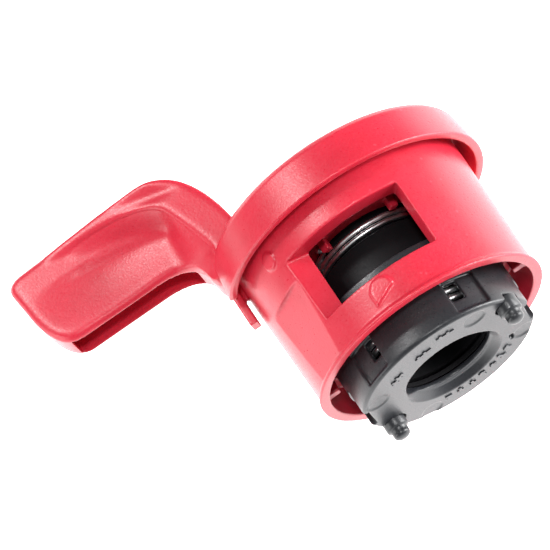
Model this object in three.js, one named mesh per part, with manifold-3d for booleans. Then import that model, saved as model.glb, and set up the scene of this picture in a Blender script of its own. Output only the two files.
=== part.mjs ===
// Spring-return operating handle for a small seacock valve.
//
// The handle is built upright in hub coordinates: the hub axis is Z, the end face that seats on the
// valve is the plane Z = 0, and the lever stands at the top, reaching out along -X.  The hub window
// looks along -Y.  The whole group is then laid on its side, because the stem of a valve in an
// upright pipe is horizontal: the seating face looks along -Y and the window looks up.
import * as THREE from 'three';
import { ConvexGeometry } from 'three/addons/geometries/ConvexGeometry.js';
import { mergeVertices } from 'three/addons/utils/BufferGeometryUtils.js';
import Module from 'manifold-3d';

const wasm = await Module();
wasm.setup();

// ---- driving dimensions, millimetres ------------------------------------------------------------
const FLANGE_RADIUS = 25.0;          // widest circle of the handle, at the lower edge of its rim
const FLANGE_TOP_RADIUS = 23.6;
const FLANGE_LOW = 28.8;
const FLANGE_TOP = 36.8;
const FLANGE_WALL = 1.5;
const TOP_PLATE = 2.8;

const SKIRT_LOW = 5.4;
const SKIRT_RADIUS_LOW = 21.0;
const SKIRT_RADIUS_TOP = 21.6;
const SKIRT_LIP = 0.6;               // lip stands out by this much and is this high
const SKIRT_MOUTH_RADIUS = 19.7;     // wide mouth of the skirt
const SKIRT_MOUTH_TOP = 11.4;
const SKIRT_BORE_RADIUS = 17.7;

const WINDOW_LOW = 12.0;
const WINDOW_HIGH = 24.2;
const WINDOW_PLAN = [[-6.6, -14.5], [-16.1, -19.2], [-16.1, -24.0], [11.2, -24.0], [8.1, -14.5]];
const FLAT_CENTRE_DEG = 140.5;       // flat on the skirt beside the window
const FLAT_DEPTH = 0.6;
const FLAT_HIGH = 20.7;
const PAD = { half: 2.05, straight: 1.7, low: 7.7, angle: 95 };   // D-shaped pad under the window

const CUTOUT_FROM_DEG = 165;         // stretch of the flange rim that is left away
const CUTOUT_TO_DEG = 262;
const STOP_PEG = { x: -22.9, y: -3.0, thick: 1.5, width: 3.0, drop: 4.7 };

const SPRING_LUG_LOW = 24.4;         // two lugs outside the coil; the coil's end rests on one of them
const SPRING_LUG_RING = [11.8, 13.3];
const SPRING_LUGS_DEG = [[114, 121], [52, 59]];
const INNER_COLLAR = { inner: 9.9, outer: 13.3, low: 26.6 };   // red collar round the top of the drum

const LEVER_END = -55.0;
const LEVER_LOW = 40.3;
const LEVER_HIGH = 57.0;
const LEVER_HALF = 4.4;              // half thickness of the thumb blade
const NECK_HALF = 8.6;               // how far the hump and the neck stand out on the window side
const HUMP_FROM_X = -48.0;
const NECK_FROM_X = -25.0;
const LEVER_EDGE = 1.4;              // rounding of the blade's long edges
const HUMP_EDGE = 0.8;
const LEVER_WALL = 1.4;
const FAR_WALL = 0.9;
const CREST = [[-47, 55.0], [-38, 54.4], [-32, 53.6], [-27.5, 51.4], [-25, 48.6]];
const NECK_CREASE = [[-21.6, 38.4], [-21.4, 34.0]];
const DISH = { x: -39.6, z: 47.2, rx: 13.0, ry: 4.0, rz: 6.4, depth: 0.7 };

const CAGE_RADIUS = 16.6;
const CAGE_WALL = 1.6;
const CAGE_HEIGHT = 15.0;
const CAGE_FLOOR = 2.2;
const BORE_RADIUS = 8.45;
const BORE_FLARE = { x: 0.4, y: 1.7, radius: 9.2, depth: 1.3 };   // one-sided lead-in of the bore
const CAGE_SLOTS_DEG = [[120.5, 127.5], [58.5, 67.5]];
const CAGE_PANELS_DEG = [[119.5, 139.5], [47, 69]];
const POST_RING = 15.1;              // the posts stand on this radius
const POST_DEG = 30;
const POST_BASE_RADIUS = 2.0;
const POST_TIP_RADIUS = 1.5;
const POST_HEIGHT = 3.3;
const EJECTOR_MARKS = [[7.4, 11.3], [-13.2, 4.5], [13.4, -6.0], [-6.7, -13.0]];
const EJECTOR_RADIUS = 2.1;

const DRUM_RADIUS = 12.0;
const DRUM_LOW = 3.8;
const DRUM_SHOULDER = 22.4;
const MANDREL_RADIUS = 9.4;
const DRUM_HIGH = 33.6;
const DRUM_BORE = 8.45;
const WASHER_THICKNESS = 0.8;
const SOCKET_RADIUS = 8.1;
const SOCKET_LOW = 14.0;
const SOCKET_HIGH = 26.0;
const SOCKET_SQUARE = 9.0;           // across the flats of the valve stem, with clearance
const SCREW_HEAD_RADIUS = 4.4;
const SCREW_SHANK_RADIUS = 2.2;

const WIRE_RADIUS = 0.45;
const COIL_RADIUS = 10.4;
const COIL_LOW = 23.2;
const COIL_PITCH = 1.1;
const COIL_FROM_DEG = 250;           // the lower leg leaves the coil on the side away from the window
const COIL_TO_DEG = 129 - 720;       // two turns on, the upper end is bent out beside its lug
const CAGE_WIRE_RADIUS = 0.55;
const CAGE_COIL_RADIUS = 14.0;
const CAGE_COIL_LOW = 3.9;
const CAGE_COIL_PITCH = 1.4;
const CAGE_COIL_TURNS = 5;
const CAGE_COIL_FROM_DEG = 200;

const GAP = 0.3;                     // clearance between pieces that seat on each other
const ROUND = 64;                    // facets of the large circles

// ---- materials ------------------------------------------------------------------------------------
const material = (color, roughness, metalness) => (
  new THREE.MeshStandardMaterial({ color, roughness, metalness })
);
const RED_PLASTIC = material(0xe8304a, 0.42, 0.0);
const BLACK_PLASTIC = material(0x202224, 0.5, 0.0);
const SPRING_STEEL = material(0xc9ccd0, 0.25, 1.0);
const ZINC = material(0xb4b6b8, 0.4, 1.0);

// ---- solids ---------------------------------------------------------------------------------------
const deg = (angle) => THREE.MathUtils.degToRad(angle);

// A point of the plan at a radius and an angle; angles open from +X toward the window side, -Y.
const polar = (radius, angle) => [radius * Math.cos(deg(angle)), -radius * Math.sin(deg(angle))];

function signedVolume(points, triangles) {
  let total = 0;
  const [a, b, c] = [new THREE.Vector3(), new THREE.Vector3(), new THREE.Vector3()];
  for (let i = 0; i < triangles.length; i += 3) {
    a.fromArray(points, 3 * triangles[i]);
    b.fromArray(points, 3 * triangles[i + 1]);
    c.fromArray(points, 3 * triangles[i + 2]);
    total += a.dot(b.cross(c));
  }
  return total / 6;
}

// A closed three.js geometry as a solid, facing outward whatever way its outline was drawn.
function solid(geometry) {
  const bare = geometry.clone();
  bare.deleteAttribute('normal');
  bare.deleteAttribute('uv');
  const merged = mergeVertices(bare, 1e-4);
  const points = merged.attributes.position.array;
  const index = merged.index.array;
  const triangles = [];
  for (let i = 0; i < index.length; i += 3) {
    const [a, b, c] = [index[i], index[i + 1], index[i + 2]];
    if (a !== b && b !== c && c !== a) {
      triangles.push(a, b, c);
    }
  }
  if (signedVolume(points, triangles) < 0) {
    triangles.reverse();
  }
  return new wasm.Manifold(new wasm.Mesh({
    numProp: 3,
    vertProperties: new Float32Array(points),
    triVerts: new Uint32Array(triangles),
  }));
}

// Turns a closed outline of [radius, height] points about the hub axis.
function turned(outline, segments = ROUND) {
  const points = outline.concat([outline[0]]).map(([r, z]) => new THREE.Vector2(r, z));
  return solid(new THREE.LatheGeometry(points, segments).rotateX(Math.PI / 2));
}

const disc = (radius, low, high, segments = ROUND) => (
  turned([[0, low], [radius, low], [radius, high], [0, high]], segments)
);

const ring = (inner, outer, low, high, segments = ROUND) => (
  turned([[inner, low], [outer, low], [outer, high], [inner, high]], segments)
);

const outlineShape = (points) => new THREE.Shape(points.map(([x, y]) => new THREE.Vector2(x, y)));

// A plan outline, raised from one height to another.
function raised(points, low, high) {
  const geometry = new THREE.ExtrudeGeometry(outlineShape(points), {
    depth: high - low,
    bevelEnabled: false,
  });
  return solid(geometry.translate(0, 0, low));
}

// The part of a ring between two angles, as a plan outline.
function sector(inner, outer, from, to) {
  const steps = Math.max(2, Math.ceil((to - from) / 6));
  const points = [];
  for (let i = 0; i <= steps; i += 1) {
    points.push(polar(outer, from + ((to - from) * i) / steps));
  }
  for (let i = steps; i >= 0; i -= 1) {
    points.push(polar(inner, from + ((to - from) * i) / steps));
  }
  return points;
}

const sectorSolid = (inner, outer, from, to, low, high) => (
  raised(sector(inner, outer, from, to), low, high)
);

function box(size, centre) {
  return solid(new THREE.BoxGeometry(...size).translate(...centre));
}

function rodAt(x, y, radius, low, high, segments = 24) {
  const rod = new THREE.CylinderGeometry(radius, radius, high - low, segments);
  return solid(rod.rotateX(Math.PI / 2).translate(x, y, (low + high) / 2));
}

// A solid that was drawn facing +X at the axis, moved out to a radius and turned to an angle.
function placedRadially(geometry, radius, angle, height) {
  return solid(geometry.translate(radius, 0, height).rotateZ(-deg(angle)));
}

function wire(points, radius, steps) {
  const curve = new THREE.CatmullRomCurve3(points.map((p) => new THREE.Vector3(...p)));
  const section = new THREE.Shape();
  section.absarc(0, 0, radius, 0, 2 * Math.PI);
  return solid(new THREE.ExtrudeGeometry(section, {
    steps,
    curveSegments: 3,
    extrudePath: curve,
  }));
}

// Points along a coil that rises by the pitch in each turn, from one angle to another.
function helix(radius, low, pitch, fromDeg, toDeg) {
  const points = [];
  const turns = Math.abs(toDeg - fromDeg) / 360;
  const count = Math.round(16 * turns);
  for (let i = 0; i <= count; i += 1) {
    const [x, y] = polar(radius, fromDeg + ((toDeg - fromDeg) * i) / count);
    points.push([x, y, low + (pitch * turns * i) / count]);
  }
  return points;
}

function mesh(name, piece, look) {
  const { vertProperties, triVerts } = piece.getMesh();
  const geometry = new THREE.BufferGeometry();
  geometry.setAttribute('position', new THREE.BufferAttribute(new Float32Array(vertProperties), 3));
  geometry.setIndex(new THREE.BufferAttribute(new Uint32Array(triVerts), 1));
  geometry.computeVertexNormals();
  const node = new THREE.Mesh(geometry, look);
  node.name = name;
  return node;
}

const joined = (pieces) => pieces.reduce((whole, piece) => whole.add(piece));
const cut = (body, tools) => tools.reduce((rest, tool) => rest.subtract(tool), body);

// ---- lever and hub: one red moulding --------------------------------------------------------------

// Skirt, top plate and flange as one turned section.
function hubShell() {
  const plateLow = FLANGE_TOP - TOP_PLATE;
  const outline = [
    [SKIRT_MOUTH_RADIUS, SKIRT_LOW],
    [SKIRT_RADIUS_LOW + SKIRT_LIP, SKIRT_LOW],
    [SKIRT_RADIUS_LOW + SKIRT_LIP, SKIRT_LOW + SKIRT_LIP],
    [SKIRT_RADIUS_LOW, SKIRT_LOW + 1.5 * SKIRT_LIP],
    [SKIRT_RADIUS_TOP, FLANGE_LOW],
    [SKIRT_RADIUS_TOP, plateLow],
    [FLANGE_TOP_RADIUS - FLANGE_WALL, plateLow],
    [FLANGE_RADIUS - FLANGE_WALL, FLANGE_LOW],
    [FLANGE_RADIUS, FLANGE_LOW],
    [FLANGE_TOP_RADIUS + 0.5, FLANGE_TOP - 1.2],
    [FLANGE_TOP_RADIUS, FLANGE_TOP - 0.4],
    [FLANGE_TOP_RADIUS - 0.5, FLANGE_TOP],
    [0, FLANGE_TOP],
    [0, plateLow],
    [SKIRT_BORE_RADIUS, plateLow],
    [SKIRT_BORE_RADIUS, SKIRT_MOUTH_TOP],
    [SKIRT_MOUTH_RADIUS, SKIRT_MOUTH_TOP],
  ];
  return turned(outline, 72);
}

// Side outline of the thumb blade, from its open underside round the end and down to the flange.
function bladeOutline() {
  const shape = new THREE.Shape();
  shape.moveTo(-33, LEVER_LOW);
  shape.lineTo(LEVER_END + 6.6, LEVER_LOW);
  shape.quadraticCurveTo(LEVER_END + 2.2, LEVER_LOW, LEVER_END + 0.8, LEVER_LOW + 7.5);
  shape.lineTo(LEVER_END, LEVER_HIGH - 3.2);
  shape.quadraticCurveTo(LEVER_END - 0.1, LEVER_HIGH - 0.6, LEVER_END + 3.0, LEVER_HIGH - 0.4);
  shape.quadraticCurveTo(-40, LEVER_HIGH + 0.4, -27.5, LEVER_HIGH - 0.8);
  shape.bezierCurveTo(-20.5, LEVER_HIGH - 1.6, -17.2, 50, -15.8, FLANGE_TOP + 4);
  shape.lineTo(-15.4, FLANGE_TOP - TOP_PLATE + 1);
  shape.lineTo(-24, FLANGE_TOP - TOP_PLATE - 1.2);
  shape.quadraticCurveTo(-25.2, LEVER_LOW - 0.4, -33, LEVER_LOW);
  return shape;
}

// Outline of the hump over the thumb face and of the neck that comes down from it.
function humpOutline() {
  const shape = new THREE.Shape();
  shape.moveTo(...NECK_CREASE[1]);
  shape.lineTo(...NECK_CREASE[0]);
  shape.lineTo(...CREST[CREST.length - 1]);
  CREST.slice(0, -1).reverse().forEach(([x, z]) => shape.lineTo(x, z));
  shape.lineTo(CREST[0][0], LEVER_HIGH - 0.2);
  shape.quadraticCurveTo(-38, LEVER_HIGH + 0.1, -27.5, LEVER_HIGH - 0.8);
  shape.bezierCurveTo(-20.5, LEVER_HIGH - 1.6, -17.2, 50, -15.8, FLANGE_TOP + 4);
  shape.lineTo(-15.4, FLANGE_TOP - TOP_PLATE + 1);
  return shape;
}

// An upright slab of a side outline, with rounded edges.
function slab(outline, half, edge) {
  const geometry = new THREE.ExtrudeGeometry(outline, {
    depth: 2 * (half - edge),
    curveSegments: 7,
    bevelEnabled: true,
    bevelThickness: edge,
    bevelSize: edge,
    bevelOffset: -edge,
    bevelSegments: 3,
  });
  return geometry.translate(0, 0, -(half - edge)).rotateX(Math.PI / 2);
}

// How far the hump stands out on the window side, at a place along the lever.
function humpHalf(x) {
  const along = Math.max(0, Math.min(1, (x - HUMP_FROM_X) / (NECK_FROM_X - HUMP_FROM_X)));
  return LEVER_HALF + (NECK_HALF - LEVER_HALF) * along ** 1.3;
}

function hump() {
  const geometry = slab(humpOutline(), LEVER_HALF, HUMP_EDGE);
  const points = geometry.attributes.position;
  for (let i = 0; i < points.count; i += 1) {
    const y = points.getY(i);
    points.setY(i, y < 0 ? (y * humpHalf(points.getX(i))) / LEVER_HALF : y * 0.9);
  }
  return solid(geometry);
}

// Fills the corner between two lines of [x, z] points: a foot on the blade and a crest on the hump.
function fillet(foot, crest) {
  const inside = LEVER_HALF - 1.5;
  const points = foot.flatMap(([x, z]) => [
    new THREE.Vector3(x, -LEVER_HALF, z),
    new THREE.Vector3(x, -inside, z),
  ]);
  crest.forEach(([x, z]) => {
    points.push(new THREE.Vector3(x, -(humpHalf(x) - HUMP_EDGE), z), new THREE.Vector3(x, -inside, z));
  });
  return solid(new ConvexGeometry(points));
}

function leverFillets() {
  const underCrest = fillet(
    [[-42, 53.4], [-36, 51.8], [-30, 49.6], [-27.2, 46.5]],
    [[-42, 55.4], [-36, 55.0], [-30, 53.6], [-26, 50.4]],
  );
  const flank = fillet(
    [[-25.8, 47.8], [-26.9, 41], [-25.6, 36.6], [-25.1, 33.6]],
    [[-24.2, 48.6], [-21.2, 38.6], [-20.9, 33.6]],
  );
  return [underCrest, flank];
}

// The shallow hollow that the thumb lies in, grown outward by the given allowance.
function dishEllipsoid(grow) {
  const ball = new THREE.SphereGeometry(1, 28, 14);
  ball.scale(DISH.rx + grow, DISH.ry + grow, DISH.rz + grow);
  return solid(ball.translate(DISH.x, -(LEVER_HALF + DISH.ry - DISH.depth), DISH.z));
}

// The inside of the lever, open along its underside.
function leverHollow() {
  const shape = new THREE.Shape();
  const inner = LEVER_END + LEVER_WALL;
  shape.moveTo(-26.2, LEVER_LOW - 3);
  shape.lineTo(inner + 3.0, LEVER_LOW - 3);
  shape.lineTo(inner + 3.0, LEVER_LOW + 2);
  shape.quadraticCurveTo(inner + 1.4, LEVER_LOW + 5, inner + 0.9, LEVER_LOW + 8.5);
  shape.lineTo(inner + 0.4, LEVER_HIGH - 4.4);
  shape.lineTo(inner + 3, LEVER_HIGH - LEVER_WALL - 1.6);
  shape.lineTo(-30, LEVER_HIGH - LEVER_WALL - 0.6);
  shape.quadraticCurveTo(-26.6, LEVER_HIGH - 4, -26.4, LEVER_LOW + 6);
  const far = LEVER_HALF - FAR_WALL;
  const hollow = new THREE.ExtrudeGeometry(shape, {
    depth: LEVER_HALF - LEVER_WALL + far,
    curveSegments: 6,
    bevelEnabled: false,
  });
  hollow.translate(0, 0, -far).rotateX(Math.PI / 2);
  return solid(hollow).subtract(dishEllipsoid(LEVER_WALL));
}

// The flat beside the window, cut a little way into the round skirt.
function skirtFlat() {
  const low = SKIRT_LOW + 1.5 * SKIRT_LIP;
  const size = FLAT_HIGH - low;
  const block = new THREE.BoxGeometry(4, 12, size);
  const face = SKIRT_RADIUS_LOW + 0.25 - FLAT_DEPTH;
  return placedRadially(block, face + 2, FLAT_CENTRE_DEG, low + size / 2);
}

// Low D-shaped pad under the window: a round top over a flat foot.
function dPad() {
  const half = PAD.half;
  const shape = new THREE.Shape();
  shape.moveTo(-half, 0);
  shape.lineTo(half, 0);
  shape.lineTo(half, PAD.straight);
  shape.absarc(0, PAD.straight, half, 0, Math.PI);
  const pad = new THREE.ExtrudeGeometry(shape, { depth: 1, curveSegments: 8, bevelEnabled: false });
  pad.rotateX(Math.PI / 2).rotateZ(Math.PI / 2);
  return placedRadially(pad, SKIRT_RADIUS_LOW - 0.6, PAD.angle, PAD.low);
}

function leverHub() {
  const ribs = [0, 180].map((angle) => (
    sectorSolid(CAGE_RADIUS + 0.7, SKIRT_MOUTH_RADIUS + 0.3, angle - 3, angle + 3, 7.2, 12)
  ));
  const lugs = SPRING_LUGS_DEG.map(([from, to]) => (
    sectorSolid(...SPRING_LUG_RING, from, to, SPRING_LUG_LOW, FLANGE_TOP - 1)
  ));
  const pipAt = new THREE.CylinderGeometry(1.5, 1.5, 1.2, 20).rotateZ(Math.PI / 2);
  const pip = placedRadially(pipAt, SKIRT_RADIUS_TOP - 0.35, 133, 26.8);
  const pegLow = FLANGE_LOW - STOP_PEG.drop;
  const pegHigh = FLANGE_TOP - TOP_PLATE + 1;
  const peg = box(
    [STOP_PEG.thick, STOP_PEG.width, pegHigh - pegLow],
    [STOP_PEG.x, STOP_PEG.y, (pegHigh + pegLow) / 2],
  );
  const pegWeb = box(
    [3, 0.9, pegHigh - FLANGE_LOW],
    [STOP_PEG.x + 1.5, STOP_PEG.y, (pegHigh + FLANGE_LOW) / 2],
  );
  const boss = ring(SCREW_SHANK_RADIUS, 7, DRUM_HIGH - 3, FLANGE_TOP - TOP_PLATE + 1, 40);
  const shell = cut(hubShell(), [
    sectorSolid(SKIRT_RADIUS_TOP + 0.01, FLANGE_RADIUS + 1, CUTOUT_FROM_DEG, CUTOUT_TO_DEG,
      FLANGE_LOW - 1, FLANGE_TOP - TOP_PLATE),
    disc(SCREW_SHANK_RADIUS + GAP, 20, FLANGE_TOP + 1, 24),
    disc(SCREW_HEAD_RADIUS + 0.6, FLANGE_TOP - 1.2, FLANGE_TOP + 1, 32),
  ]);
  const collar = ring(INNER_COLLAR.inner, INNER_COLLAR.outer, INNER_COLLAR.low, FLANGE_TOP - 1, 48);
  const bored = cut(boss, [disc(SCREW_SHANK_RADIUS + GAP, 20, FLANGE_TOP + 1, 24)]);
  const blade = solid(slab(bladeOutline(), LEVER_HALF, LEVER_EDGE));
  const lever = cut(joined([blade, hump(), ...leverFillets()]), [dishEllipsoid(0), leverHollow()]);
  const whole = joined([shell, bored, collar, lever, peg, pegWeb, pip, dPad(), ...ribs, ...lugs]);
  return cut(whole, [
    raised(WINDOW_PLAN, WINDOW_LOW, WINDOW_HIGH),
    skirtFlat(),
  ]);
}

// ---- spring cage: the black cup in the mouth of the skirt -------------------------------------------
function springCage() {
  const inner = CAGE_RADIUS - CAGE_WALL;
  const cup = turned([
    [CAGE_RADIUS - 0.4, 0],
    [CAGE_RADIUS, 0.4],
    [CAGE_RADIUS, CAGE_HEIGHT],
    [inner, CAGE_HEIGHT],
    [inner, CAGE_FLOOR],
    [BORE_RADIUS, CAGE_FLOOR],
    [BORE_RADIUS, 0],
  ]);
  const tools = [];
  for (const [from, to] of CAGE_SLOTS_DEG) {
    tools.push(sectorSolid(inner - 1, CAGE_RADIUS + 1, from, to, 3.2, 6.4));
  }
  for (const [from, to] of CAGE_PANELS_DEG) {
    tools.push(sectorSolid(CAGE_RADIUS - 0.6, CAGE_RADIUS + 1, from, to, 0.9, 7.0));
  }
  for (const side of [1, -1]) {
    tools.push(box([4, 6.4, 5], [side * (15.3 + 2), side * 0.2, 2.4]));
    const [x, y] = polar(POST_RING, POST_DEG);
    tools.push(rodAt(side * x, side * y, POST_BASE_RADIUS + GAP, -1, CAGE_FLOOR - 0.8));
  }
  for (const [x, y] of EJECTOR_MARKS) {
    tools.push(rodAt(x, -y, EJECTOR_RADIUS, -1, 0.2));
  }
  tools.push(box([0.8, 2.0, 1.2], [11.1, 5.3, 0.1]));
  const flare = turned([
    [0, -0.5],
    [BORE_FLARE.radius + 0.3, -0.5],
    [BORE_FLARE.radius, 0],
    [BORE_FLARE.radius - 1.2, BORE_FLARE.depth],
    [0, BORE_FLARE.depth],
  ], 48);
  tools.push(flare.translate([BORE_FLARE.x, BORE_FLARE.y, 0]));
  return cut(cup, tools);
}

// Stepped locating post with a domed tip, standing out of the end face.
function locatingPost(side) {
  const [x, y] = polar(POST_RING, POST_DEG);
  const seat = CAGE_FLOOR - 0.8 - GAP;
  const shoulder = -1.3;
  const dome = POST_HEIGHT - 0.9;
  const outline = [
    [0, seat],
    [POST_BASE_RADIUS, seat],
    [POST_BASE_RADIUS, shoulder],
    [POST_TIP_RADIUS, shoulder - 0.25],
    [POST_TIP_RADIUS, -dome],
  ];
  for (let i = 1; i <= 4; i += 1) {
    const angle = (Math.PI / 2) * (i / 4);
    outline.push([Math.max(0, POST_TIP_RADIUS * Math.cos(angle)), -dome - 0.9 * Math.sin(angle)]);
  }
  outline[outline.length - 1][0] = 0;
  return turned(outline, 24).translate([side * x, side * y, 0]);
}

// ---- inside the hub ----------------------------------------------------------------------------------
function springDrum() {
  return turned([
    [DRUM_BORE, DRUM_LOW],
    [DRUM_RADIUS - 0.4, DRUM_LOW],
    [DRUM_RADIUS, DRUM_LOW + 0.4],
    [DRUM_RADIUS, DRUM_SHOULDER - 0.5],
    [DRUM_RADIUS - 0.5, DRUM_SHOULDER],
    [MANDREL_RADIUS, DRUM_SHOULDER],
    [MANDREL_RADIUS, DRUM_HIGH],
    [7 + GAP, DRUM_HIGH],
    [7 + GAP, DRUM_HIGH - 3 - GAP],
    [SCREW_SHANK_RADIUS + GAP, DRUM_HIGH - 3 - GAP],
    [SCREW_SHANK_RADIUS + GAP, SOCKET_HIGH + GAP],
    [DRUM_BORE, SOCKET_HIGH + GAP],
  ], 48);
}

function stemSocket() {
  const body = disc(SOCKET_RADIUS, SOCKET_LOW, SOCKET_HIGH, 48);
  const square = box([SOCKET_SQUARE, SOCKET_SQUARE, 8], [0, 0, SOCKET_LOW + 3]);
  const screwHole = disc(SCREW_SHANK_RADIUS + GAP, SOCKET_LOW, SOCKET_HIGH + 1, 24);
  return cut(body, [square, screwHole]);
}

function hubScrew() {
  const headLow = FLANGE_TOP - 1.2 + GAP;
  const head = turned([
    [0, headLow],
    [SCREW_HEAD_RADIUS, headLow],
    [SCREW_HEAD_RADIUS, headLow + 1.4],
    [SCREW_HEAD_RADIUS - 1.2, headLow + 2.3],
    [0, headLow + 2.5],
  ], 32);
  const shank = disc(SCREW_SHANK_RADIUS, SOCKET_LOW + 8.2, headLow + 0.5, 24);
  const cross = [0, 90].map((angle) => (
    box([4.6, 0.9, 2], [0, 0, headLow + 2.6]).rotate([0, 0, angle])
  ));
  return cut(joined([head, shank]), cross);
}

// Close-wound coil on the drum: its top end meets a lug of the hub, its leg goes down into the cage.
function drumSpring() {
  const coil = helix(COIL_RADIUS, COIL_LOW, COIL_PITCH, COIL_FROM_DEG, COIL_TO_DEG);
  const legPoints = [[14.0, 8, 13.5], [14.0, 8, 19.5], [13.4, 7, 21.9], [11.6, 5, COIL_LOW - 0.2]];
  const leg = legPoints.map(([r, angle, z]) => [...polar(r, COIL_FROM_DEG + angle), z]);
  const top = coil[coil.length - 1][2];
  const bend = [[10.9, -2.6], [11.7, -3.6], [12.8, -4]].map(([r, angle]) => (
    [...polar(r, COIL_TO_DEG + angle), top]
  ));
  return wire([...leg, ...coil.slice(1), ...bend], WIRE_RADIUS, 100);
}

// The heavier return coil inside the cage, seen through the cage's two side windows.
function cageSpring() {
  const last = CAGE_COIL_FROM_DEG + 360 * CAGE_COIL_TURNS;
  const coil = helix(CAGE_COIL_RADIUS, CAGE_COIL_LOW, CAGE_COIL_PITCH, CAGE_COIL_FROM_DEG, last);
  return wire(coil, CAGE_WIRE_RADIUS, 24 * CAGE_COIL_TURNS);
}

// ---- the assembly --------------------------------------------------------------------------------------
const handle = new THREE.Group();
handle.add(
  mesh('lever_hub', leverHub(), RED_PLASTIC),
  mesh('spring_drum', springDrum(), BLACK_PLASTIC),
  mesh('stem_socket', stemSocket(), BLACK_PLASTIC),
  mesh('hub_screw', hubScrew(), ZINC),
);

const cage = new THREE.Group();
cage.add(
  mesh('spring_cage', springCage(), BLACK_PLASTIC),
  mesh('locating_post_1', locatingPost(1), BLACK_PLASTIC),
  mesh('locating_post_2', locatingPost(-1), BLACK_PLASTIC),
  mesh('cage_spring', cageSpring(), SPRING_STEEL),
  mesh('thrust_washer', ring(BORE_RADIUS + 0.4, DRUM_RADIUS, CAGE_FLOOR + GAP,
    CAGE_FLOOR + GAP + WASHER_THICKNESS, 48), BLACK_PLASTIC),
);

const valveHandle = new THREE.Group();
valveHandle.add(handle, cage, mesh('drum_spring', drumSpring(), SPRING_STEEL));
valveHandle.rotation.x = -Math.PI / 2;

export default valveHandle;
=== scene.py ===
"""Spring-return valve handle: finished pieces, materials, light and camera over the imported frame.

Pieces are drawn in hub coordinates, in millimetres: Z is the hub axis with the seating face at 0 and
the lever at the top, the lever reaches out along -X and the hub window looks along -Y.  LAY turns
them into the row frame, in metres.
"""
import math

import bmesh
import bpy
from mathutils import Matrix, Vector


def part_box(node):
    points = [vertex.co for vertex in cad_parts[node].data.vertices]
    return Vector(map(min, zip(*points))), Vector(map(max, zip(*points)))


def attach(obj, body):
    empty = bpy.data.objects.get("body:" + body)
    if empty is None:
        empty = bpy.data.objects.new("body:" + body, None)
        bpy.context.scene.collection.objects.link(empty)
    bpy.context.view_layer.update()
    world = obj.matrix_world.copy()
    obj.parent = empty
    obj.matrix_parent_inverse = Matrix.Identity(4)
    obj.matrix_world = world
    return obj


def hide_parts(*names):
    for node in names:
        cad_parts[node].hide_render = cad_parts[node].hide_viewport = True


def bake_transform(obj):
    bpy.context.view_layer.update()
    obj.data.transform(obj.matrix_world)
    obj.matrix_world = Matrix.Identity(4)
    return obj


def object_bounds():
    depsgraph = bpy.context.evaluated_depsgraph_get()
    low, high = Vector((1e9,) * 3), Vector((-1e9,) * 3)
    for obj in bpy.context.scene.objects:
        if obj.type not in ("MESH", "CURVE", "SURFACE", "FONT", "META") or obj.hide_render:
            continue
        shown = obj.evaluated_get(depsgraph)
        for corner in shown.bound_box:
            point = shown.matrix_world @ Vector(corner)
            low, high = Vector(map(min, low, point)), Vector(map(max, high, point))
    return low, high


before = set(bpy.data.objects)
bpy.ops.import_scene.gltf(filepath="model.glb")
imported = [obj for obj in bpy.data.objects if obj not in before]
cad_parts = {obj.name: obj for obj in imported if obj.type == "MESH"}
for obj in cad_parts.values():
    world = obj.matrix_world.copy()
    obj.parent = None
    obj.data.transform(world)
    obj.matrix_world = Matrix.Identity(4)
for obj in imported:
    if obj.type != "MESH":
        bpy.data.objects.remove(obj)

MM = 0.001
LAY = Matrix.Scale(MM, 4) @ Matrix.Rotation(math.radians(-90), 4, "X")
CAD_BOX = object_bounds()


# ---- driving dimensions: the overall ones are read off the frame -----------------------------------
def hub_size(node):
    """A node's box in hub millimetres: ((low x, y, z), (high x, y, z))."""
    low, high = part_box(node)
    return (
        (low[0] / MM, -high[2] / MM, low[1] / MM),
        (high[0] / MM, -low[2] / MM, high[1] / MM),
    )


HUB_LOW, HUB_HIGH = hub_size("lever_hub")
_, CAGE_HIGH = hub_size("spring_cage")
DRUM_LOW, DRUM_HIGH = hub_size("spring_drum")

FLANGE_RADIUS = HUB_HIGH[0]
FLANGE_TOP_RADIUS = FLANGE_RADIUS - 1.4
FLANGE_LOW = 28.8
FLANGE_TOP = 36.8
FLANGE_WALL = 1.5
TOP_PLATE = 2.8
SKIRT_LOW = HUB_LOW[2]
SKIRT_RADIUS_LOW = 21.0
SKIRT_RADIUS_TOP = 21.6
SKIRT_LIP = 0.6
SKIRT_MOUTH_RADIUS = 19.7
SKIRT_MOUTH_TOP = 11.4
SKIRT_BORE_RADIUS = 17.7
WINDOW = {"low": 12.0, "high": 24.2}
WINDOW_PLAN = [(-6.6, -14.5), (-16.1, -19.2), (-16.1, -24.0), (11.2, -24.0), (8.1, -14.5)]
LEVER_END = HUB_LOW[0]
LEVER_HIGH = HUB_HIGH[2]
LEVER_LOW = 40.3
LEVER_HALF = 4.4
NECK_HALF = 8.6
HUMP_FROM_X = -48.0
NECK_FROM_X = -25.0
LEVER_WALL = 1.4
FAR_WALL = 0.9
DISH_DEPTH = 0.9
CREST = [(-25.0, 48.6), (-26.4, 51.6), (-32.0, 54.0), (-39.0, 54.6), (-47.0, 55.0)]
STOP_PEG = {"x": -22.9, "y": -3.0, "thick": 1.5, "width": 3.0, "drop": 4.7}
SPRING_LUGS_DEG = ((114, 121), (52, 59))
INNER_COLLAR = {"inner": 9.9, "outer": 13.3, "low": 26.6}
CAGE_RADIUS = CAGE_HIGH[0]
CAGE_WALL = 1.6
CAGE_HEIGHT = CAGE_HIGH[2]
CAGE_FLOOR = 2.2
BORE_RADIUS = 8.45
POST_RING = 15.1
POST_DEG = 30
DRUM_RADIUS = DRUM_HIGH[0]
DRUM_SHOULDER = 22.4
MANDREL_RADIUS = 9.4
POST_BASE_RADIUS = 2.0
POST_TIP_RADIUS = 1.5
SCREW_HEAD_RADIUS = 4.4
SCREW_SHANK_RADIUS = 2.2
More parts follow.
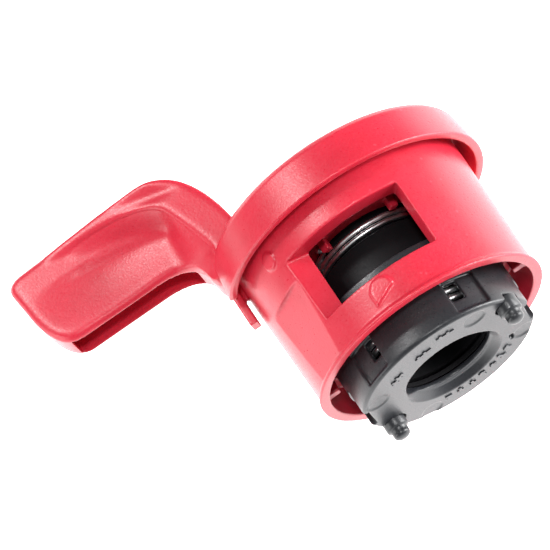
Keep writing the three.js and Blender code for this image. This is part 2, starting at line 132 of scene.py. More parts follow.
DRUM_COIL = {"radius": 10.4, "low": 23.2, "pitch": 1.1, "from": 250, "to": 129 - 720, "wire": 0.45}
CAGE_COIL = {"radius": 14.0, "low": 3.9, "pitch": 1.4, "from": 200, "turns": 5, "wire": 0.55}


# ---- mesh building -----------------------------------------------------------------------------------
def polar(radius, angle):
    """Plan point; angles open from +X toward the window side."""
    return radius * math.cos(math.radians(angle)), -radius * math.sin(math.radians(angle))


def smoothstep(start, end, value):
    t = min(1.0, max(0.0, (value - start) / (end - start)))
    return t * t * (3 - 2 * t)


def mesh_object(name, verts, faces):
    mesh = bpy.data.meshes.new(name)
    mesh.from_pydata([tuple(v) for v in verts], [], faces)
    bm = bmesh.new()
    bm.from_mesh(mesh)
    bmesh.ops.remove_doubles(bm, verts=bm.verts, dist=1e-5)
    bmesh.ops.dissolve_degenerate(bm, dist=1e-6, edges=bm.edges)
    bmesh.ops.recalc_face_normals(bm, faces=bm.faces)
    bm.to_mesh(mesh)
    bm.free()
    obj = bpy.data.objects.new(name, mesh)
    bpy.context.scene.collection.objects.link(obj)
    return obj


def skin(name, rings, closed=False):
    """A skin over rings of equally many points; the two end rings are capped unless it closes."""
    count = len(rings[0])
    verts = [p for ring in rings for p in ring]
    faces = []
    rows = len(rings) if closed else len(rings) - 1
    for r in range(rows):
        a, b = r * count, ((r + 1) % len(rings)) * count
        for i in range(count):
            j = (i + 1) % count
            faces.append((a + i, a + j, b + j, b + i))
    if not closed:
        faces.append(tuple(range(count)))
        faces.append(tuple((len(rings) - 1) * count + i for i in range(count)))
    return mesh_object(name, verts, faces)


def turned(name, outline, segments=192):
    """A closed outline of (radius, height) points turned about the hub axis."""
    rings = []
    for i in range(segments):
        c, s = math.cos(2 * math.pi * i / segments), math.sin(2 * math.pi * i / segments)
        rings.append([(r * c, r * s, z) for r, z in outline])
    return skin(name, rings, closed=True)


def disc(radius, low, high, segments=96):
    return turned("disc", [(0, low), (radius, low), (radius, high), (0, high)], segments)


def prism(points, low, high):
    """A plan outline raised from low to high."""
    return skin("prism", [[(x, y, z) for x, y in points] for z in (low, high)])


def sector(inner, outer, start, end, low, high):
    """Part of a ring between two angles."""
    steps = max(2, math.ceil((end - start) / 2))
    angles = [start + (end - start) * i / steps for i in range(steps + 1)]
    points = [polar(outer, a) for a in angles] + [polar(inner, a) for a in reversed(angles)]
    return prism(points, low, high)


def box(size, centre):
    x, y = size[0] / 2, size[1] / 2
    corners = [(-x, -y), (x, -y), (x, y), (-x, y)]
    plan = [(centre[0] + a, centre[1] + b) for a, b in corners]
    return prism(plan, centre[2] - size[2] / 2, centre[2] + size[2] / 2)


def rod(x, y, radius, low, high, segments=48):
    angles = [2 * math.pi * i / segments for i in range(segments)]
    return prism([(x + radius * math.cos(a), y + radius * math.sin(a)) for a in angles], low, high)


def radial(obj, radius, angle, height):
    """Moves a solid drawn at the origin, facing +X, out to a radius, an angle and a height."""
    place = Matrix.Rotation(math.radians(-angle), 4, "Z") @ Matrix.Translation((radius, 0, height))
    obj.data.transform(place)
    return obj


def bezier(points, steps):
    """Points along a Bezier curve of any order, without its first point."""
    out = []
    for i in range(1, steps + 1):
        t = i / steps
        row = [Vector(p) for p in points]
        while len(row) > 1:
            row = [a.lerp(b, t) for a, b in zip(row, row[1:])]
        out.append(tuple(row[0]))
    return out


def settle(obj):
    """Applies the modifiers of obj to its mesh."""
    graph = bpy.context.evaluated_depsgraph_get()
    fresh = bpy.data.meshes.new_from_object(obj.evaluated_get(graph))
    old = obj.data
    obj.modifiers.clear()
    obj.data = fresh
    bpy.data.meshes.remove(old)
    return obj


def combine(obj, others, operation):
    """Joins or cuts other solids into obj, and drops them."""
    for other in others:
        modifier = obj.modifiers.new("combine", "BOOLEAN")
        modifier.operation = operation
        modifier.solver = "EXACT"
        modifier.object = other
        settle(obj)
        bpy.data.objects.remove(other)
    return obj


def soften(obj, voxel, passes=4):
    """One even skin over the solid, with every edge slightly rounded, as a mould leaves it."""
    remesh = obj.modifiers.new("remesh", "REMESH")
    remesh.mode = "VOXEL"
    remesh.voxel_size = voxel
    smooth = obj.modifiers.new("smooth", "SMOOTH")
    smooth.factor = 0.5
    smooth.iterations = passes
    return settle(obj)


def melt(obj, weight_of, passes):
    """Smooths obj further where weight_of(point) is above 0: fillets between forms."""
    group = obj.vertex_groups.new(name="melt")
    for vertex in obj.data.vertices:
        weight = weight_of(vertex.co)
        if weight > 0.01:
            group.add([vertex.index], weight, "REPLACE")
    smooth = obj.modifiers.new("melt", "SMOOTH")
    smooth.vertex_group = group.name
    smooth.factor = 0.5
    smooth.iterations = passes
    settle(obj)
    obj.vertex_groups.clear()
    return obj


def tube(name, path, radius, sides=14):
    """A round wire along a path of points, with slightly domed ends."""
    points = [Vector(p) for p in path]
    rings = []
    normal = Vector((0, 0, 1))
    for i, p in enumerate(points):
        ahead = points[min(i + 1, len(points) - 1)] - points[max(i - 1, 0)]
        ahead.normalize()
        normal = (normal - ahead * normal.dot(ahead)).normalized()
        side = ahead.cross(normal)
        ends = ((p, 1.0),)
        if i == 0:
            ends = ((p - ahead * radius * 0.3, 0.75), (p, 1.0))
        if i == len(points) - 1:
            ends = ((p, 1.0), (p + ahead * radius * 0.3, 0.75))
        for centre, size in ends:
            turn = [2 * math.pi * k / sides for k in range(sides)]
            rings.append([
                centre + (normal * math.cos(a) + side * math.sin(a)) * radius * size for a in turn
            ])
    return skin(name, rings)


def spline(points, per_span=6):
    """A smooth curve through a few points."""
    pts = [Vector(p) for p in points]
    out = []
    for i in range(len(pts) - 1):
        a, b = pts[max(i - 1, 0)], pts[i]
        c, d = pts[i + 1], pts[min(i + 2, len(pts) - 1)]
        for k in range(per_span):
            t = k / per_span
            out.append(0.5 * (
                2 * b + (c - a) * t + (2 * a - 5 * b + 4 * c - d) * t ** 2
                + (3 * b - a - 3 * c + d) * t ** 3
            ))
    return out + [pts[-1]]


def finish_piece(obj, body, look, nodes=(), smooth_angle=None):
    """Lays the piece into the row frame, gives it its finish, hides the CAD nodes it stands for and ties it
    to its body.
    """
    obj.data.transform(LAY)
    obj.data.materials.clear()
    obj.data.materials.append(look)
    obj.data.shade_smooth()
    if smooth_angle is not None:
        obj.data.set_sharp_from_angle(angle=math.radians(smooth_angle))
    if nodes:
        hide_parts(*nodes)
    if body:
        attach(obj, body)
    return obj


# ---- materials ---------------------------------------------------------------------------------------
def new_material(name):
    material = bpy.data.materials.new(name)
    material.use_nodes = True
    return material, material.node_tree.nodes, material.node_tree.links


def noise(nodes, links, scale, detail=3.0, roughness=0.6):
    """Noise over object coordinates, in features per metre."""
    place = nodes.new("ShaderNodeTexCoord")
    texture = nodes.new("ShaderNodeTexNoise")
    texture.inputs["Scale"].default_value = scale
    texture.inputs["Detail"].default_value = detail
    texture.inputs["Roughness"].default_value = roughness
    links.new(place.outputs["Object"], texture.inputs["Vector"])
    return texture


def ramp(nodes, links, source, low, high, start=0.3, end=0.7):
    """Maps a value to a range of colours or greys."""
    node = nodes.new("ShaderNodeValToRGB")
    node.color_ramp.elements[0].position = start
    node.color_ramp.elements[1].position = end
    node.color_ramp.elements[0].color = low
    node.color_ramp.elements[1].color = high
    links.new(source, node.inputs["Fac"])
    return node


def grey(value):
    return (value, value, value, 1)


def moulded_plastic(name, deep, bright, fleck_and_edge_highlight, roughness, grain_scale, grain, wave=0.12, glow=0.0,
                    shine=0.5):
    """Moulded plastic: cloudy colour, fine tool grain, uneven gloss and a painted highlight that paints
    convex edges paler.
    """
    material, nodes, links = new_material(name)
    shader = nodes["Principled BSDF"]
    cloud = noise(nodes, links, 90.0, 4.0)
    speck = noise(nodes, links, grain_scale, 2.0, 0.7)
    tint = ramp(nodes, links, cloud.outputs["Fac"], deep, bright)
    flecks = ramp(nodes, links, speck.outputs["Fac"], grey(0), grey(0.06), 0.45, 0.8)
    fleck_mix = nodes.new("ShaderNodeMix")
    fleck_mix.data_type = "RGBA"
    fleck_mix.inputs["B"].default_value = fleck_and_edge_highlight
    links.new(flecks.outputs["Color"], fleck_mix.inputs["Factor"])
    links.new(tint.outputs["Color"], fleck_mix.inputs["A"])
    # Convex edges, found by pointiness, are mixed toward the pale colour that the grain flecks also use: a
    # painted highlight along the edges.
    geometry = nodes.new("ShaderNodeNewGeometry")
    edge = ramp(nodes, links, geometry.outputs["Pointiness"], grey(0), grey(0.2), 0.53, 0.62)
    edge_highlight_mix = nodes.new("ShaderNodeMix")
    edge_highlight_mix.data_type = "RGBA"
    edge_highlight_mix.inputs["B"].default_value = fleck_and_edge_highlight
    links.new(edge.outputs["Color"], edge_highlight_mix.inputs["Factor"])
    links.new(fleck_mix.outputs["Result"], edge_highlight_mix.inputs["A"])
    links.new(edge_highlight_mix.outputs["Result"], shader.inputs["Base Color"])
    gloss = ramp(nodes, links, speck.outputs["Fac"], grey(roughness - 0.07), grey(roughness + 0.09))
    links.new(gloss.outputs["Color"], shader.inputs["Roughness"])
    bump = nodes.new("ShaderNodeBump")
    bump.inputs["Strength"].default_value = grain
    bump.inputs["Distance"].default_value = 0.00006
    links.new(speck.outputs["Fac"], bump.inputs["Height"])
    wide = nodes.new("ShaderNodeBump")
    wide.inputs["Strength"].default_value = wave
    wide.inputs["Distance"].default_value = 0.0004
    links.new(cloud.outputs["Fac"], wide.inputs["Height"])
    links.new(bump.outputs["Normal"], wide.inputs["Normal"])
    links.new(wide.outputs["Normal"], shader.inputs["Normal"])
    shader.inputs["Specular IOR Level"].default_value = shine
    shader.inputs["Subsurface Weight"].default_value = glow
    shader.inputs["Subsurface Radius"].default_value = (1.0, 0.18, 0.12)
    shader.inputs["Subsurface Scale"].default_value = 0.0012
    return material


def drawn_metal(name, colour, roughness, streak_scale):
    """Drawn or plated metal with fine streaks and a few dull patches."""
    material, nodes, links = new_material(name)
    shader = nodes["Principled BSDF"]
    shader.inputs["Metallic"].default_value = 1.0
    streak = noise(nodes, links, streak_scale, 5.0)
    patch = noise(nodes, links, 250.0, 2.0)
    darker = tuple(0.62 * c for c in colour[:3]) + (1,)
    tint = ramp(nodes, links, patch.outputs["Fac"], darker, colour)
    links.new(tint.outputs["Color"], shader.inputs["Base Color"])
    gloss = ramp(nodes, links, streak.outputs["Fac"], grey(roughness - 0.06), grey(roughness + 0.12))
    links.new(gloss.outputs["Color"], shader.inputs["Roughness"])
    bump = nodes.new("ShaderNodeBump")
    bump.inputs["Strength"].default_value = 0.2
    bump.inputs["Distance"].default_value = 0.00003
    links.new(streak.outputs["Fac"], bump.inputs["Height"])
    links.new(bump.outputs["Normal"], shader.inputs["Normal"])
    return material


# Each third colour below is the pale tone of the grain flecks and of the painted edge highlight.
RED = moulded_plastic(
    "red_moulded", (0.44, 0.010, 0.026, 1), (0.53, 0.016, 0.038, 1), (0.74, 0.12, 0.16, 1),
    roughness=0.34, grain_scale=2600.0, grain=0.5, glow=0.06,
)
BLACK = moulded_plastic(
    "black_moulded", (0.010, 0.011, 0.013, 1), (0.017, 0.018, 0.022, 1), (0.05, 0.052, 0.058, 1),
    roughness=0.34, grain_scale=3200.0, grain=0.35, wave=0.03,
)
# A darker, less reflective copy of the black plastic for the parts deep inside the hub: painted shade.
BLACK_PAINTED_SHADE = moulded_plastic(
    "black_drum_painted_shade", (0.004, 0.004, 0.005, 1), (0.007, 0.007, 0.008, 1), (0.02, 0.02, 0.022, 1),
    roughness=0.5, grain_scale=3200.0, grain=0.3, wave=0.03, shine=0.2,
)
STEEL = drawn_metal("spring_wire", (0.92, 0.92, 0.93, 1), 0.34, 900.0)
ZINC = drawn_metal("zinc_plate", (0.46, 0.46, 0.45, 1), 0.42, 900.0)


# ---- lever and hub -----------------------------------------------------------------------------------
def hub_shell():
    plate = FLANGE_TOP - TOP_PLATE
    return turned("lever_hub_piece", [
        (SKIRT_MOUTH_RADIUS, SKIRT_LOW),
        (SKIRT_RADIUS_LOW + SKIRT_LIP, SKIRT_LOW),
        (SKIRT_RADIUS_LOW + SKIRT_LIP, SKIRT_LOW + SKIRT_LIP),
        (SKIRT_RADIUS_LOW, SKIRT_LOW + 1.5 * SKIRT_LIP),
        (SKIRT_RADIUS_TOP, FLANGE_LOW),
        (SKIRT_RADIUS_TOP, plate),
        (FLANGE_TOP_RADIUS - FLANGE_WALL, plate),
        (FLANGE_RADIUS - FLANGE_WALL, FLANGE_LOW),
        (FLANGE_RADIUS, FLANGE_LOW),
        (FLANGE_TOP_RADIUS + 0.5, FLANGE_TOP - 1.2),
        (FLANGE_TOP_RADIUS, FLANGE_TOP - 0.4),
        (FLANGE_TOP_RADIUS - 0.5, FLANGE_TOP),
        (0, FLANGE_TOP),
        (0, plate),
        (SKIRT_BORE_RADIUS, plate),
        (SKIRT_BORE_RADIUS, SKIRT_MOUTH_TOP),
        (SKIRT_MOUTH_RADIUS, SKIRT_MOUTH_TOP),
    ], 256)


def lever_outline():
    """Side outline of the thumb lever as (x, z) points, clockwise from its underside."""
    e, low, high = LEVER_END, LEVER_LOW, LEVER_HIGH
    points = [(-33, low)]
    points += [(-33 + (e + 6.6 + 33) * i / 12, low) for i in range(1, 13)]
    points += bezier([(e + 6.6, low), (e + 2.2, low), (e + 0.8, low + 7.5)], 14)
    points += bezier([(e + 0.8, low + 7.5), (e, high - 2.8)], 5)
    points += bezier([(e, high - 2.8), (e - 0.1, high - 0.5), (e + 3.0, high - 0.3)], 8)
    points += bezier([(e + 3.0, high - 0.3), (-40, high + 0.4), (-27.5, high - 0.8)], 20)
    points += bezier([(-27.5, high - 0.8), (-20.5, high - 1.6), (-17.2, 50), (-15.8, FLANGE_TOP + 4)], 20)
    points += bezier([(-15.8, FLANGE_TOP + 4), (-15.4, 34.6), (-20.5, 33.6)], 10)
    points += bezier([(-20.5, 33.6), (-24.8, 32.2), (-25.0, 36.0)], 12)
    points += bezier([(-25.0, 36.0), (-25.9, low - 0.2), (-33, low)], 14)[:-1]
    return points


def inset(points, distance):
    """The outline moved inward by a distance."""
    area = sum(a[0] * b[1] - b[0] * a[1] for a, b in zip(points, points[1:] + points[:1]))
    way = 1 if area > 0 else -1
    out = []
    for i, p in enumerate(points):
        before, after = Vector(points[i - 1]), Vector(points[(i + 1) % len(points)])
        along = (after - before).normalized()
        out.append((p[0] - way * along.y * distance, p[1] + way * along.x * distance))
    return out


def rounded_slab(outline, half, edge, rows=9):
    """An upright slab of an (x, z) outline, thickness 2 * half along Y, with round edges."""
    rings = []
    for side in (-1, 1):
        steps = range(rows + 1) if side < 0 else range(rows, -1, -1)
        for i in steps:
            t = math.pi / 2 * i / rows
            ring = inset(outline, edge * (1 - math.sin(t)))
            y = side * (half - edge + edge * math.cos(t))
            rings.append([(x, y, z) for x, z in ring])
    return skin("slab", rings)


def hump_outline():
    """Side outline of the hump over the thumb face and of the neck that comes down from it."""
    high = LEVER_HIGH - 0.08
    points = [(-21.4, 34.0), (-21.6, 38.4)]
    points += bezier([(-21.6, 38.4), (-23.2, 44.0), (-25.0, 48.6)], 10)
    points += bezier(CREST, 24)
    points += [(-47.2, 55.6), (-47.2, high - 0.8), (-46.8, high - 0.2)]
    points += bezier([(-46.8, high - 0.2), (-38, high + 0.1), (-27.5, high - 0.8)], 16)
    points += bezier([(-27.5, high - 0.8), (-20.5, high - 1.6), (-17.3, 50), (-15.9, FLANGE_TOP + 4)], 20)
    return points + [(-15.5, FLANGE_TOP - TOP_PLATE + 0.8)]


def hump_half(x):
    """How far the hump stands out on the window side, at a place along the lever."""
    along = min(1.0, max(0.0, (x - HUMP_FROM_X) / (NECK_FROM_X - HUMP_FROM_X)))
    return LEVER_HALF + (NECK_HALF - LEVER_HALF) * along ** 1.3


def hump():
    obj = rounded_slab(hump_outline(), LEVER_HALF, 0.5)
    for vertex in obj.data.vertices:
        y = vertex.co.y
        vertex.co.y = y * hump_half(vertex.co.x) / LEVER_HALF if y < 0 else 0.9 * y
    return obj


def crest_height(x):
    """Height of the line between hump and thumb face."""
    line = [CREST[0]] + bezier(CREST, 40)
    for (x1, z1), (x2, z2) in zip(line, line[1:]):
        if x2 <= x <= x1:
            return z1 + (z2 - z1) * (x - x1) / (x2 - x1)
    return CREST[-1][1] if x < CREST[-1][0] else -1.0


def lever_hollow():
    inner = LEVER_END + LEVER_WALL
    low, high = LEVER_LOW, LEVER_HIGH
    outline = [(-26.2, low - 3), (inner + 3.0, low - 3), (inner + 3.0, low + 2)]
    outline += bezier([(inner + 3.0, low + 2), (inner + 1.4, low + 5), (inner + 0.9, low + 8.5)], 8)
    outline += [(inner + 0.4, high - 4.4), (inner + 3, high - LEVER_WALL - 1.6)]
    outline += [(-30, high - LEVER_WALL - 0.6)]
    outline += bezier([(-30, high - LEVER_WALL - 0.6), (-26.6, high - 4), (-26.4, low + 6)], 8)
    near, far = -(LEVER_HALF - LEVER_WALL), LEVER_HALF - FAR_WALL
    return skin("hollow", [[(x, y, z) for x, z in outline] for y in (near, far)])


def shape_thumb_face(obj):
    """Hollows the thumb face softly and fills the corners where it meets the hump and the neck."""
    for vertex in obj.data.vertices:
        x, y, z = vertex.co
        if x < LEVER_END + 1 or x > -21.3 or z < FLANGE_TOP - 3 or not -NECK_HALF < y < -3.6:
            continue
        half = hump_half(x) - 0.5
        below = crest_height(x) - z
        rise = 1 - smoothstep(-0.6, 4.2, below) if below > 0 else 0.0
        foot = -25.2 - 1.9 * smoothstep(49, 40, z) + 1.8 * smoothstep(40, 35, z)
        crease = -25.0 + 3.6 * min(1.0, max(0.0, (48.6 - z) / 10.2))
        flank = min(1.0, max(0.0, (x - foot + 1.4) / (crease - foot + 1.4)))
        rise = max(rise, smoothstep(0, 1.15, flank) if z < 49.5 else 0.0)
        across, upward = (x + 39.0) / 17.0, (z - 46.6) / 8.0
        dish = DISH_DEPTH * max(0.0, 1 - across ** 2 - upward ** 2) ** 2
        if rise > 0 and z < LEVER_HIGH - 1.5:
            vertex.co.y = min(y, -(LEVER_HALF + (half - LEVER_HALF) * rise - dish))
        elif y > -LEVER_HALF - 0.3:
            vertex.co.y = y + dish


def d_outline(half, rise):
    """Outline of the D mark: a flat foot under a round top, as (y, z) points."""
    arc = [math.pi * i / 24 for i in range(25)]
    return [(-half, 0)] + [(half * math.cos(a), rise + half * math.sin(a)) for a in arc]


def skirt_cutters():
    flat_low, flat_high = SKIRT_LOW + 1.5 * SKIRT_LIP, 20.7
    flat = radial(
        box((4, 12, flat_high - flat_low), (0, 0, 0)),
        SKIRT_RADIUS_LOW - 0.35 + 2, 140.5, (flat_low + flat_high) / 2,
    )
    return [prism(WINDOW_PLAN, WINDOW["low"], WINDOW["high"]), flat]


def hub_details(plate):
    """Stop peg and its web, pip, spring lugs, ribs in the mouth and the D-shaped pad."""
    peg_low, peg_high = FLANGE_LOW - STOP_PEG["drop"], plate + 1
    x, y = STOP_PEG["x"], STOP_PEG["y"]
    ring = [2 * math.pi * i / 32 for i in range(32)]
    pip = skin("pip", [[(h, 1.5 * math.cos(a), 1.5 * math.sin(a)) for a in ring] for h in (-0.6, 0.6)])
    pad = skin("pad", [[(h, b, c) for b, c in d_outline(2.05, 1.7)] for h in (-0.5, 0.4)])
    details = [
        box((STOP_PEG["thick"], STOP_PEG["width"], peg_high - peg_low), (x, y, (peg_high + peg_low) / 2)),
        box((3, 0.9, peg_high - FLANGE_LOW), (x + 1.5, y, (peg_high + FLANGE_LOW) / 2)),
        radial(pip, SKIRT_RADIUS_TOP - 0.35, 133, 26.8),
        radial(pad, SKIRT_RADIUS_LOW, 95.5, 7.6),
        turned("collar", [
            (INNER_COLLAR["inner"], INNER_COLLAR["low"]),
            (INNER_COLLAR["outer"], INNER_COLLAR["low"]),
            (INNER_COLLAR["outer"], plate + 1.8),
            (INNER_COLLAR["inner"], plate + 1.8),
        ]),
    ]
    for angle in (0, 180):
        details.append(sector(CAGE_RADIUS + 0.7, SKIRT_MOUTH_RADIUS + 0.3, angle - 3, angle + 3, 7.2, 12))
    for start, end in SPRING_LUGS_DEG:
        details.append(sector(11.8, 13.3, start, end, 24.4, plate + 0.5))
    return details


def lever_hub():
    hub = hub_shell()
    slab = rounded_slab(lever_outline(), LEVER_HALF, 1.4)
    combine(slab, [hump()], "UNION")
    combine(slab, [lever_hollow()], "DIFFERENCE")
    plate = FLANGE_TOP - TOP_PLATE
    combine(hub, [
        sector(SKIRT_RADIUS_TOP + 0.01, FLANGE_RADIUS + 1, 165, 262, FLANGE_LOW - 1, plate),
        disc(2.5, 20, FLANGE_TOP + 1),
        disc(5.0, FLANGE_TOP - 1.2, FLANGE_TOP + 1),
    ], "DIFFERENCE")
    combine(hub, [slab], "UNION")
    combine(hub, hub_details(plate), "UNION")
    combine(hub, skirt_cutters(), "DIFFERENCE")
    soften(hub, 0.21, 3)
    shape_thumb_face(hub)

    def at_lever(p):
        outer = smoothstep(-3.2, -3.8, p.y) * smoothstep(-15.5, -19.0, p.x)
        return 0.9 * outer * smoothstep(FLANGE_TOP, FLANGE_TOP + 3, p.z)

    melt(hub, at_lever, 70)
    return finish_piece(hub, "handle", RED, ["lever_hub"])


# ---- spring cage ---------------------------------------------------------------------------------------
def spring_cage():
    inner = CAGE_RADIUS - CAGE_WALL
    cage = turned("spring_cage_piece", [
        (CAGE_RADIUS - 0.4, 0),
        (CAGE_RADIUS, 0.4),
        (CAGE_RADIUS, CAGE_HEIGHT),
        (inner, CAGE_HEIGHT),
        (inner, CAGE_FLOOR),
        (BORE_RADIUS, CAGE_FLOOR),
        (BORE_RADIUS, 0),
    ], 224)
    cutters = []
    for start, end in ((120.5, 127.5), (58.5, 67.5)):
        cutters.append(sector(inner - 1, CAGE_RADIUS + 1, start, end, 3.2, 6.4))
    for start, end in ((119.5, 139.5), (47, 69)):
        cutters.append(sector(CAGE_RADIUS - 0.6, CAGE_RADIUS + 1, start, end, 0.9, 7.0))
    for side in (1, -1):
        x, y = polar(POST_RING, POST_DEG)
        cutters.append(box((4, 6.4, 5), (side * 17.3, side * 0.2, 2.4)))
        cutters.append(rod(side * x, side * y, 2.3, -1, CAGE_FLOOR - 0.8))
    for x, y in ((7.4, 11.3), (-13.2, 4.5), (13.4, -6.0), (-6.7, -13.0)):
        cutters.append(rod(x, -y, 2.1, -1, 0.22))
    cutters.append(box((0.8, 2.0, 1.2), (11.1, 5.3, 0.1)))
    flare = turned("flare", [(0, -0.5), (9.5, -0.5), (9.2, 0), (8.0, 1.3), (0, 1.3)], 96)
    flare.data.transform(Matrix.Translation((0.4, 1.7, 0)))
    cutters.append(flare)
    combine(cage, cutters, "DIFFERENCE")
    soften(cage, 0.19, 2)
    return finish_piece(cage, "valve_side", BLACK, ["spring_cage"])


def locating_post(node, side):
    x, y = polar(POST_RING, POST_DEG)
    outline = [
        (0, 1.1), (POST_BASE_RADIUS, 1.1), (POST_BASE_RADIUS, -1.15), (1.9, -1.3), (1.62, -1.38),
        (POST_TIP_RADIUS, -1.5), (POST_TIP_RADIUS, -2.3),
    ]
    outline += [
        (POST_TIP_RADIUS * math.cos(a), -2.4 - 0.9 * math.sin(a))
        for a in (math.pi / 2 * i / 12 for i in range(13))
    ]
    outline[-1] = (0, outline[-1][1])
    post = turned(node + "_piece", outline, 48)
    post.data.transform(Matrix.Translation((side * x, side * y, 0)))
    return finish_piece(post, "valve_side", BLACK, [node], 50)


def face_ticks():
    """Small raised index marks on the end face: three near pairs of bars and a far row of seven."""
    bars = []
    for angle, radius in ((135, 12.0), (104, 11.6), (82, 13.2)):
        for shift, length in ((-3.0, 2.4), (3.0, 1.6)):
            bars.append(radial(box((0.5, length, 0.3), (0, 0, -0.05)), radius, angle + shift, 0))
            bars.append(radial(box((1.5, 0.5, 0.3), (0, 0, -0.05)), radius, angle + shift, 0))
    for i in range(7):
        bar = box((2.0 if i % 2 else 1.3, 0.55, 0.3), (0, 0, -0.05))
        bars.append(radial(bar, 12.7, 255 + 10.8 * i, 0))
        bars.append(radial(box((0.5, 1.3, 0.3), (0, 0, -0.05)), 12.2 + 0.5 * (i % 3), 255 + 10.8 * i, 0))
    first = bars[0]
    combine(first, bars[1:], "UNION")
    first.name = "face_ticks"
    return finish_piece(first, "valve_side", BLACK, (), 40)


# ---- inside the hub -------------------------------------------------------------------------------------
def spring_drum():
    drum = turned("spring_drum_piece", [
        (BORE_RADIUS, DRUM_LOW[2]),
        (DRUM_RADIUS - 0.5, DRUM_LOW[2]),
        (DRUM_RADIUS - 0.1, DRUM_LOW[2] + 0.15),
        (DRUM_RADIUS, DRUM_LOW[2] + 0.5),
        (DRUM_RADIUS, DRUM_SHOULDER - 0.7),
        (DRUM_RADIUS - 0.15, DRUM_SHOULDER - 0.25),
        (DRUM_RADIUS - 0.6, DRUM_SHOULDER),
        (MANDREL_RADIUS + 0.2, DRUM_SHOULDER),
        (MANDREL_RADIUS, DRUM_SHOULDER + 0.2),
        (MANDREL_RADIUS, DRUM_HIGH[2]),
        (7.3, DRUM_HIGH[2]),
        (7.3, DRUM_HIGH[2] - 3.3),
        (2.5, DRUM_HIGH[2] - 3.3),
        (2.5, 26.3),
        (BORE_RADIUS, 26.3),
    ], 160)
    # The drum gets the darker copy of the black plastic: painted shade.
    return finish_piece(drum, "handle", BLACK_PAINTED_SHADE, ["spring_drum"], 35)


def helix(radius, low, pitch, start, end, per_turn=48):
    """A coil that rises by the pitch in each turn, from one angle to another."""
    turns = abs(end - start) / 360
    count = round(turns * per_turn)
    points = []
    for i in range(count + 1):
        x, y = polar(radius, start + (end - start) * i / count)
        points.append((x, y, low + pitch * turns * i / count))
    return points


def twist(spring):
    """Bakes the spring's placement into its mesh; the coil stays as drawn."""
    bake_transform(spring)


def drum_spring():
    start, end = DRUM_COIL["from"], DRUM_COIL["to"]
    coil = helix(DRUM_COIL["radius"], DRUM_COIL["low"], DRUM_COIL["pitch"], start, end)
    top = coil[-1][2]
    down = [(14.0, 8, 13.5), (14.0, 8, 19.5), (13.4, 7, 21.9), (11.6, 5, 23.0)]
    out = [(10.9, -2.6, top), (11.7, -3.6, top), (12.8, -4, top)]
    first = spline([(*polar(r, start + a), z) for r, a, z in down] + [coil[3]])[:-1]
    last = spline([coil[-2]] + [(*polar(r, end + a), z) for r, a, z in out])[1:]
    spring = tube("drum_spring_piece", first + coil[3:-2] + last, DRUM_COIL["wire"])
    finish_piece(spring, None, STEEL, ["drum_spring"], 50)
    twist(spring)


def cage_spring():
    start = CAGE_COIL["from"]
    end = start + 360 * CAGE_COIL["turns"]
    coil = helix(CAGE_COIL["radius"], CAGE_COIL["low"], CAGE_COIL["pitch"], start, end)
    spring = tube("cage_spring_piece", coil, CAGE_COIL["wire"])
    return finish_piece(spring, "valve_side", STEEL, ["cage_spring"], 50)


def hub_screw():
    low = FLANGE_TOP - 0.9
    (_, _, foot), _ = hub_size("hub_screw")
    screw = turned("hub_screw_piece", [
        (0, foot), (SCREW_SHANK_RADIUS, foot), (SCREW_SHANK_RADIUS, low),
        (SCREW_HEAD_RADIUS, low), (SCREW_HEAD_RADIUS, low + 1.2),
        (4.2, low + 1.6), (3.4, low + 2.1), (2.0, low + 2.4), (0, low + 2.5),
    ], 96)
    crosses = [box((4.6, 0.9, 3.2), (0, 0, low + 2.5)), box((0.9, 4.6, 3.1), (0, 0, low + 2.6))]
    combine(screw, crosses, "DIFFERENCE")
    return finish_piece(screw, "handle", ZINC, ["hub_screw"], 35)


def dress_frame_nodes():
    """The socket and the washer deep in the bore keep their CAD shape and get the darker copy of the black
    plastic, which paints in their shade.
    """
    for name in ("stem_socket", "thrust_washer"):
        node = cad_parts[name]
        node.data.materials.clear()
        node.data.materials.append(BLACK_PAINTED_SHADE)


# ---- camera, floor and light ------------------------------------------------------------------------------
CAMERA = {"distance": 0.4938, "elevation": 66.45, "azimuth": -4.46, "roll": 38.7, "lens": 196.4}
AIM = Vector((-0.0153, 0.0263, 0.0111))


def add_camera():
    azimuth, elevation = math.radians(CAMERA["azimuth"]), math.radians(CAMERA["elevation"])
    ahead = Vector((
        math.sin(azimuth) * math.cos(elevation),
        math.cos(azimuth) * math.cos(elevation),
        -math.sin(elevation),
    ))
    camera = bpy.data.objects.new("camera", bpy.data.cameras.new("camera"))
    camera.data.lens = CAMERA["lens"]
    camera.data.sensor_width = 36.0
    roll = Matrix.Rotation(math.radians(-CAMERA["roll"]), 3, "Z").to_quaternion()
    camera.rotation_euler = (ahead.to_track_quat("-Z", "Y") @ roll).to_euler()
    camera.location = AIM - ahead * CAMERA["distance"]
    bpy.context.scene.collection.objects.link(camera)
    bpy.context.scene.camera = camera


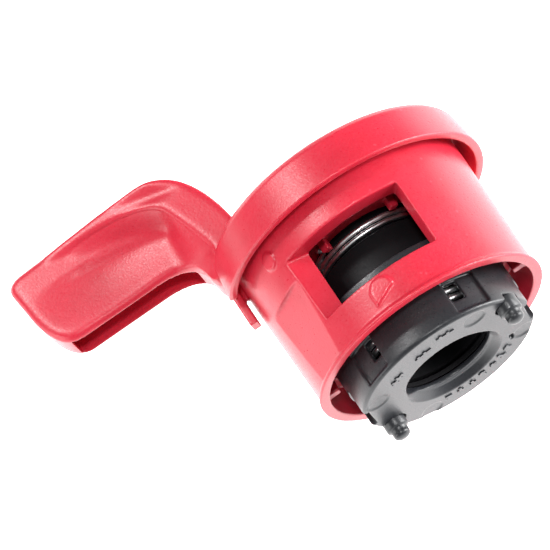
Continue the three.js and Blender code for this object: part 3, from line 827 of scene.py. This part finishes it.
def add_floor():
    low = CAD_BOX[0][2]
    size = 3.0
    corners = [(-size, -size), (size, -size), (size, size), (-size, size)]
    mesh = bpy.data.meshes.new("floor")
    mesh.from_pydata([(x, y, low - 0.03) for x, y in corners], [], [(0, 1, 2, 3)])
    floor = bpy.data.objects.new("floor", mesh)
    bpy.context.scene.collection.objects.link(floor)
    material, nodes, links = new_material("pale_floor")
    shader = nodes["Principled BSDF"]
    mottle = noise(nodes, links, 6.0, 3.0)
    tint = ramp(nodes, links, mottle.outputs["Fac"], grey(0.93), grey(0.96))
    links.new(tint.outputs["Color"], shader.inputs["Base Color"])
    links.new(tint.outputs["Color"], shader.inputs["Emission Color"])
    shader.inputs["Emission Strength"].default_value = 1.5
    shader.inputs["Roughness"].default_value = 0.8
    mesh.materials.append(material)


def area_light(name, place, aim, size, power):
    light = bpy.data.lights.new(name, "AREA")
    light.shape = "RECTANGLE"
    light.size, light.size_y = size
    light.energy = power
    lamp = bpy.data.objects.new(name, light)
    lamp.location = place
    lamp.rotation_euler = (Vector(aim) - Vector(place)).to_track_quat("-Z", "Y").to_euler()
    bpy.context.scene.collection.objects.link(lamp)


def add_light():
    centre = (0, 0.02, 0)
    area_light("left", (-0.5, -0.05, 0.16), centre, (0.3, 0.3), 1.2)
    area_light("right", (0.5, -0.12, 0.12), centre, (0.35, 0.35), 6)
    area_light("key", (-0.24, 0.36, 0.43), centre, (0.30, 0.10), 1.4)
    area_light("window", (0.06, -0.10, 0.6), centre, (0.06, 0.06), 1.7)
    area_light("glint", (-0.17, 0.25, 0.44), centre, (0.05, 0.05), 0.8)
    world = bpy.data.worlds.new("studio")
    bpy.context.scene.world = world
    world.use_nodes = True
    world.node_tree.nodes["Background"].inputs["Color"].default_value = (1, 1, 1, 1)
    world.node_tree.nodes["Background"].inputs["Strength"].default_value = 0.34
    bpy.context.scene.view_settings.view_transform = "Standard"


add_camera()
add_floor()
add_light()
lever_hub()
spring_cage()
locating_post("locating_post_1", 1)
locating_post("locating_post_2", -1)
face_ticks()
spring_drum()
drum_spring()
cage_spring()
hub_screw()
dress_frame_nodes()
